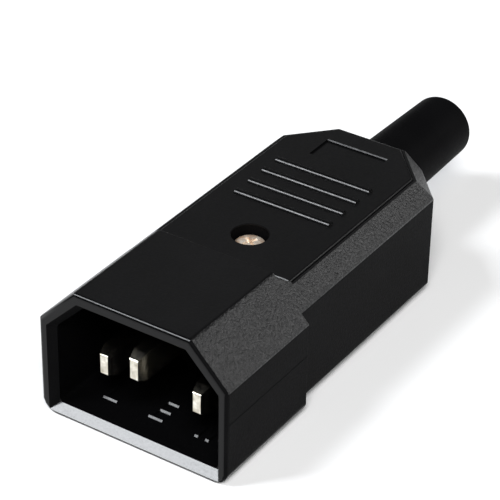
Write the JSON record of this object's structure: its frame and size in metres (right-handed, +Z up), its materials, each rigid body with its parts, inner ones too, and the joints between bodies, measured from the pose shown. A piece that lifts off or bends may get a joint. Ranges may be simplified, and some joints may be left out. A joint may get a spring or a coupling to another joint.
{
  "type": "rewireable in-line appliance plug, IEC 60320 C14 pattern, 10 A with earth",
  "caption": "Black rewireable in-line C14 power plug: open shroud with blade contacts, screwed flat cover with grip ribs and a tubular cable boot.",
  "frame": {"origin": "middle of the plug's overall length and width, at the shroud's underside", "axes": "+X to the right seen from the open face, -Y out of the open face, +Y along the cable boot, +Z up through the cover"},
  "size_m": [0.0282, 0.0764, 0.0196],
  "materials": {
    "housing_plastic": "satin",
    "cover_plastic": "satin",
    "boot_rubber": "satin",
    "contact_brass": "satin",
    "nickel_screw": "polished",
    "nickel_plate": "satin"
  },
  "bodies": {
    "root": {"lower_housing": "housing_plastic", "top_cover": "cover_plastic", "cover_screw": "nickel_screw", "cable_boot": "boot_rubber", "cord_clamp": "housing_plastic", "cord_clamp_screw_left": "nickel_screw", "cord_clamp_screw_right": "nickel_screw", "line_contact": "contact_brass", "neutral_contact": "contact_brass", "earth_contact": "contact_brass", "line_clamp_plate": "nickel_plate", "neutral_clamp_plate": "nickel_plate", "earth_clamp_plate": "nickel_plate", "line_terminal_screw": "nickel_screw", "neutral_terminal_screw": "nickel_screw", "earth_terminal_screw": "nickel_screw"}
  },
  "joints": []
}
